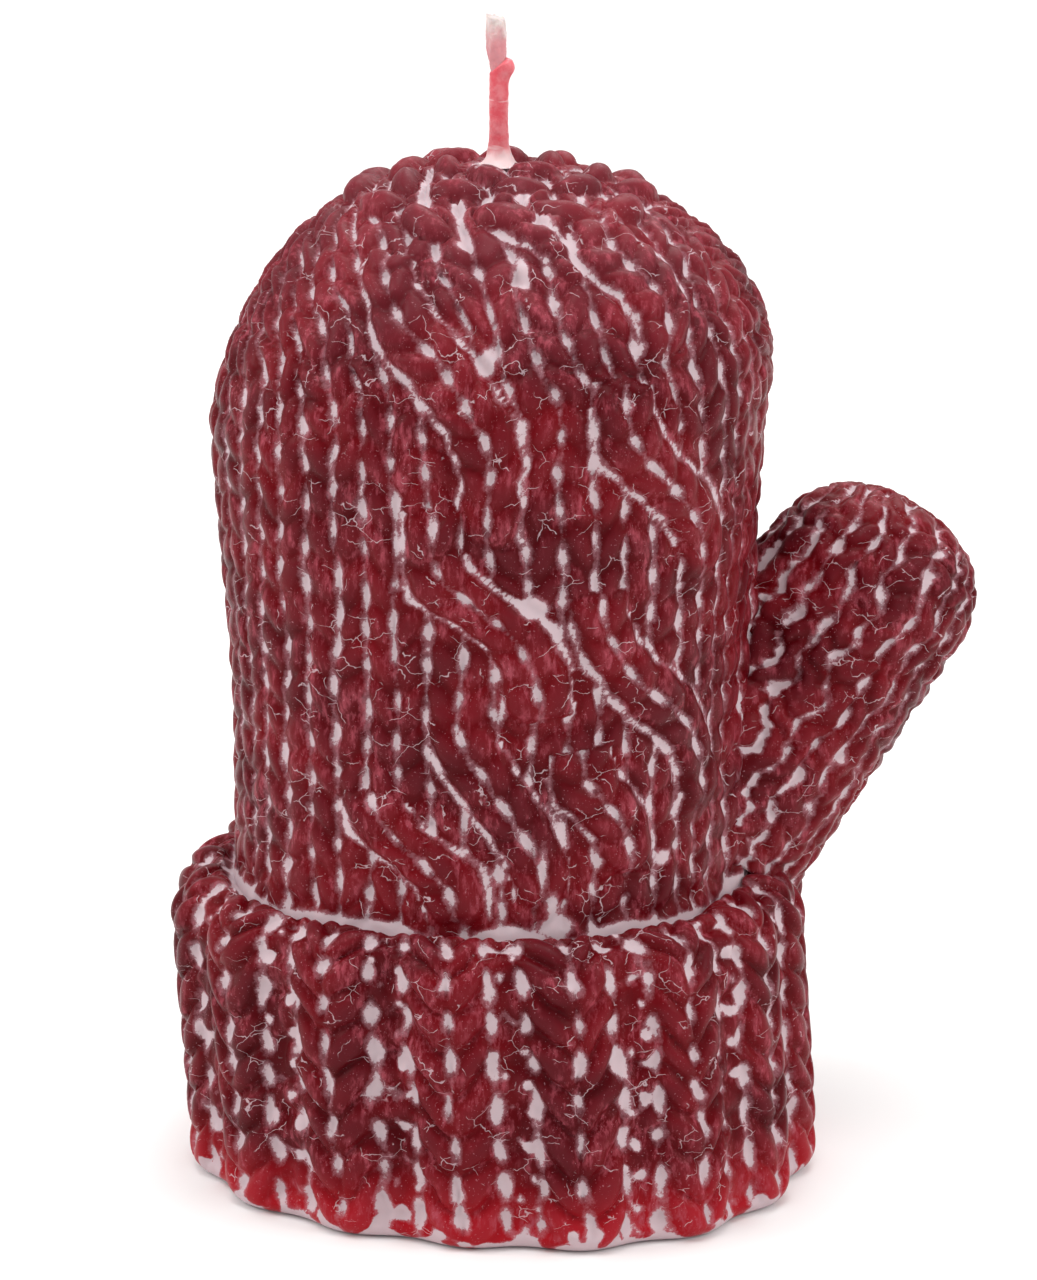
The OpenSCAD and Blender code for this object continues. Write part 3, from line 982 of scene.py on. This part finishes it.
def pinkWax():
    # Red candle wax that ran down cotton yarn and set as a thin skin: a glossy coral pink that light
    # enters, since the white yarn shows through, chalky at its foot and pale where it was scraped
    material, tree = newMaterial("dipped_thin_paraffin")
    place = addNode(tree, "ShaderNodeTexCoord").outputs["Object"]
    up = addNode(tree, "ShaderNodeSeparateXYZ", Vector=place).outputs["Z"]
    patch = addNode(
        tree, "ShaderNodeTexNoise", Vector=place, Scale=1 / (1.2 * mm), Detail=5.0, Roughness=0.65
    )
    slanted = addNode(tree, "ShaderNodeMapping", Vector=place, Rotation=(0, -0.95, 0), Scale=(1, 1, 6))
    scrape = addNode(tree, "ShaderNodeTexNoise", Vector=slanted, Scale=1 / (4.0 * mm), Detail=2.0)
    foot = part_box("wick_coat")[0][2]
    wander = addNode(tree, "ShaderNodeMath", {"operation": "MULTIPLY_ADD"}, in0=patch, in1=1.6 * mm, in2=up)
    shares = {
        "chalky": (wander, foot + 2.6 * mm, foot + 1.2 * mm, 0.9),
        "scraped": (scrape, 0.6, 0.66, 0.6),
        "mottled": (patch, 0.36, 0.66, 0.6),
    }
    for name, (value, start, stop, top) in shares.items():
        shares[name] = addNode(
            tree, "ShaderNodeMapRange", {"interpolation_type": "SMOOTHSTEP"},
            Value=value, From_Min=start, From_Max=stop, To_Min=0.0, To_Max=top,
        )
    colour = hexColour("#d6515d")
    for name, code in (("mottled", "#df9297"), ("scraped", "#e6bfc0"), ("chalky", "#e6cfcf")):
        colour = addNode(
            tree, "ShaderNodeMix", {"data_type": "RGBA"}, in0=shares[name], in6=colour, in7=hexColour(code)
        )
    bump = addNode(tree, "ShaderNodeBump", Height=patch, Distance=0.08 * mm, Strength=0.5)
    shader = addNode(
        tree, "ShaderNodeBsdfPrincipled",
        Base_Color=colour, Roughness=0.32, IOR=1.44, Specular_IOR_Level=0.4, Normal=bump,
        Subsurface_Weight=0.35, Subsurface_Radius=(1.0, 0.4, 0.35), Subsurface_Scale=0.8 * mm,
    )
    addNode(tree, "ShaderNodeOutputMaterial", Surface=shader)
    return material


finishPiece(makeCoat(coat), pinkWax(), "wick_coat")
print("wick coated")

tab = {
    "around": 120,
    "half": 7.4,
    "thick": 0.28,
    "bore": 0.8,
    "neck": 1.1,
    "ridge": (4.6, 0.7, 0.16),  # radius, half width and height of the pressed ring
    "crimp": 0.1,  # depth of the three dents that grip the wick
    "edgeSway": [(0.03, 5.0, 61)],
}


def makeTab(spec):
    # A pressed disc with a neck, turned round the wick: the profile runs out under the disc, back
    # over it, up the neck and down the bore. The pressed ring is height * exp(-((r - radius) / width)^2)
    low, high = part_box("wick_sustainer")[0][2] / mm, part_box("wick_sustainer")[1][2] / mm
    out = np.linspace(spec["bore"], spec["half"], 60)
    back = np.linspace(spec["half"], spec["neck"] + 0.5, 56)
    bendTurn = np.linspace(0, np.pi / 2, 10)[1:]
    bendOut = spec["neck"] + 0.5 * (1 - np.sin(bendTurn))
    bendUp = low + spec["thick"] + 0.5 * (1 - np.cos(bendTurn))
    neckUp = np.linspace(low + spec["thick"] + 0.6, high - 0.08, 60)
    boreDown = np.linspace(high - 0.08, low + 0.1, 60)
    ringAt, ringWide, ringHigh = spec["ridge"]
    under = low + ringHigh * np.exp(-(((out - ringAt) / ringWide) ** 2))
    over = low + spec["thick"] + ringHigh * np.exp(-(((back - ringAt) / ringWide) ** 2))
    neckOut, boreIn = np.full_like(neckUp, spec["neck"]), np.full_like(boreDown, spec["bore"] + 0.02)
    radius = np.concatenate([out, back, bendOut, neckOut, boreIn])
    z = np.concatenate([under, over, bendUp, neckUp, boreDown])
    angle, radius = np.meshgrid(np.arange(spec["around"]) / spec["around"] * 2 * np.pi, radius)
    z = z[:, None] + 0 * angle
    gripped = ease((z - low - 2) / 1.0) * ease((high - 0.6 - z) / 1.0)
    radius = radius - spec["crimp"] * gripped * np.clip(np.cos(3 * angle), 0, 1) ** 2 * (radius < 2)
    place = np.stack([radius * np.cos(angle), radius * np.sin(angle), z], -1)
    edge = sway(place, spec["edgeSway"])
    radius = radius + edge * (radius > spec["half"] - 0.4)
    points = np.stack([radius * np.cos(angle), radius * np.sin(angle), z], -1)
    return closedSkin("tab_tinplate", points, {}, ring=True)


def tinplate():
    # Thin steel sheet, tinned, then stamped: a cool satin grey with fine rolling lines one way,
    # and duller spots where molten wax touched it
    material, tree = newMaterial("stamped_tinplate")
    place = addNode(tree, "ShaderNodeTexCoord").outputs["Object"]
    # rolling lines are about 0.02 mm apart, drawn five times as coarse so that they show
    drawn = addNode(tree, "ShaderNodeMapping", Vector=place, Scale=(1, 0.02, 1))
    lines = addNode(tree, "ShaderNodeTexNoise", Vector=drawn, Scale=1 / (0.1 * mm), Detail=2.0)
    spots = addNode(tree, "ShaderNodeTexNoise", Vector=place, Scale=1 / (1.8 * mm), Detail=5.0)
    dull = addNode(
        tree, "ShaderNodeMapRange", {"interpolation_type": "SMOOTHSTEP"},
        Value=spots, From_Min=0.5, From_Max=0.68, To_Min=0.0, To_Max=1.0,
    )
    colour = addNode(
        tree, "ShaderNodeMix", {"data_type": "RGBA"},
        in0=dull, in6=hexColour("#c3c6c9"), in7=hexColour("#9a9492"),
    )
    rough = addNode(tree, "ShaderNodeMath", {"operation": "MULTIPLY_ADD"}, in0=dull, in1=0.25, in2=0.28)
    bump = addNode(tree, "ShaderNodeBump", Height=lines, Distance=0.01 * mm, Strength=0.4)
    shader = addNode(
        tree, "ShaderNodeBsdfPrincipled", Base_Color=colour, Metallic=1.0, Roughness=rough, Normal=bump
    )
    addNode(tree, "ShaderNodeOutputMaterial", Surface=shader)
    return material


finishPiece(makeTab(tab), tinplate(), "wick_sustainer")
print("tab stamped")
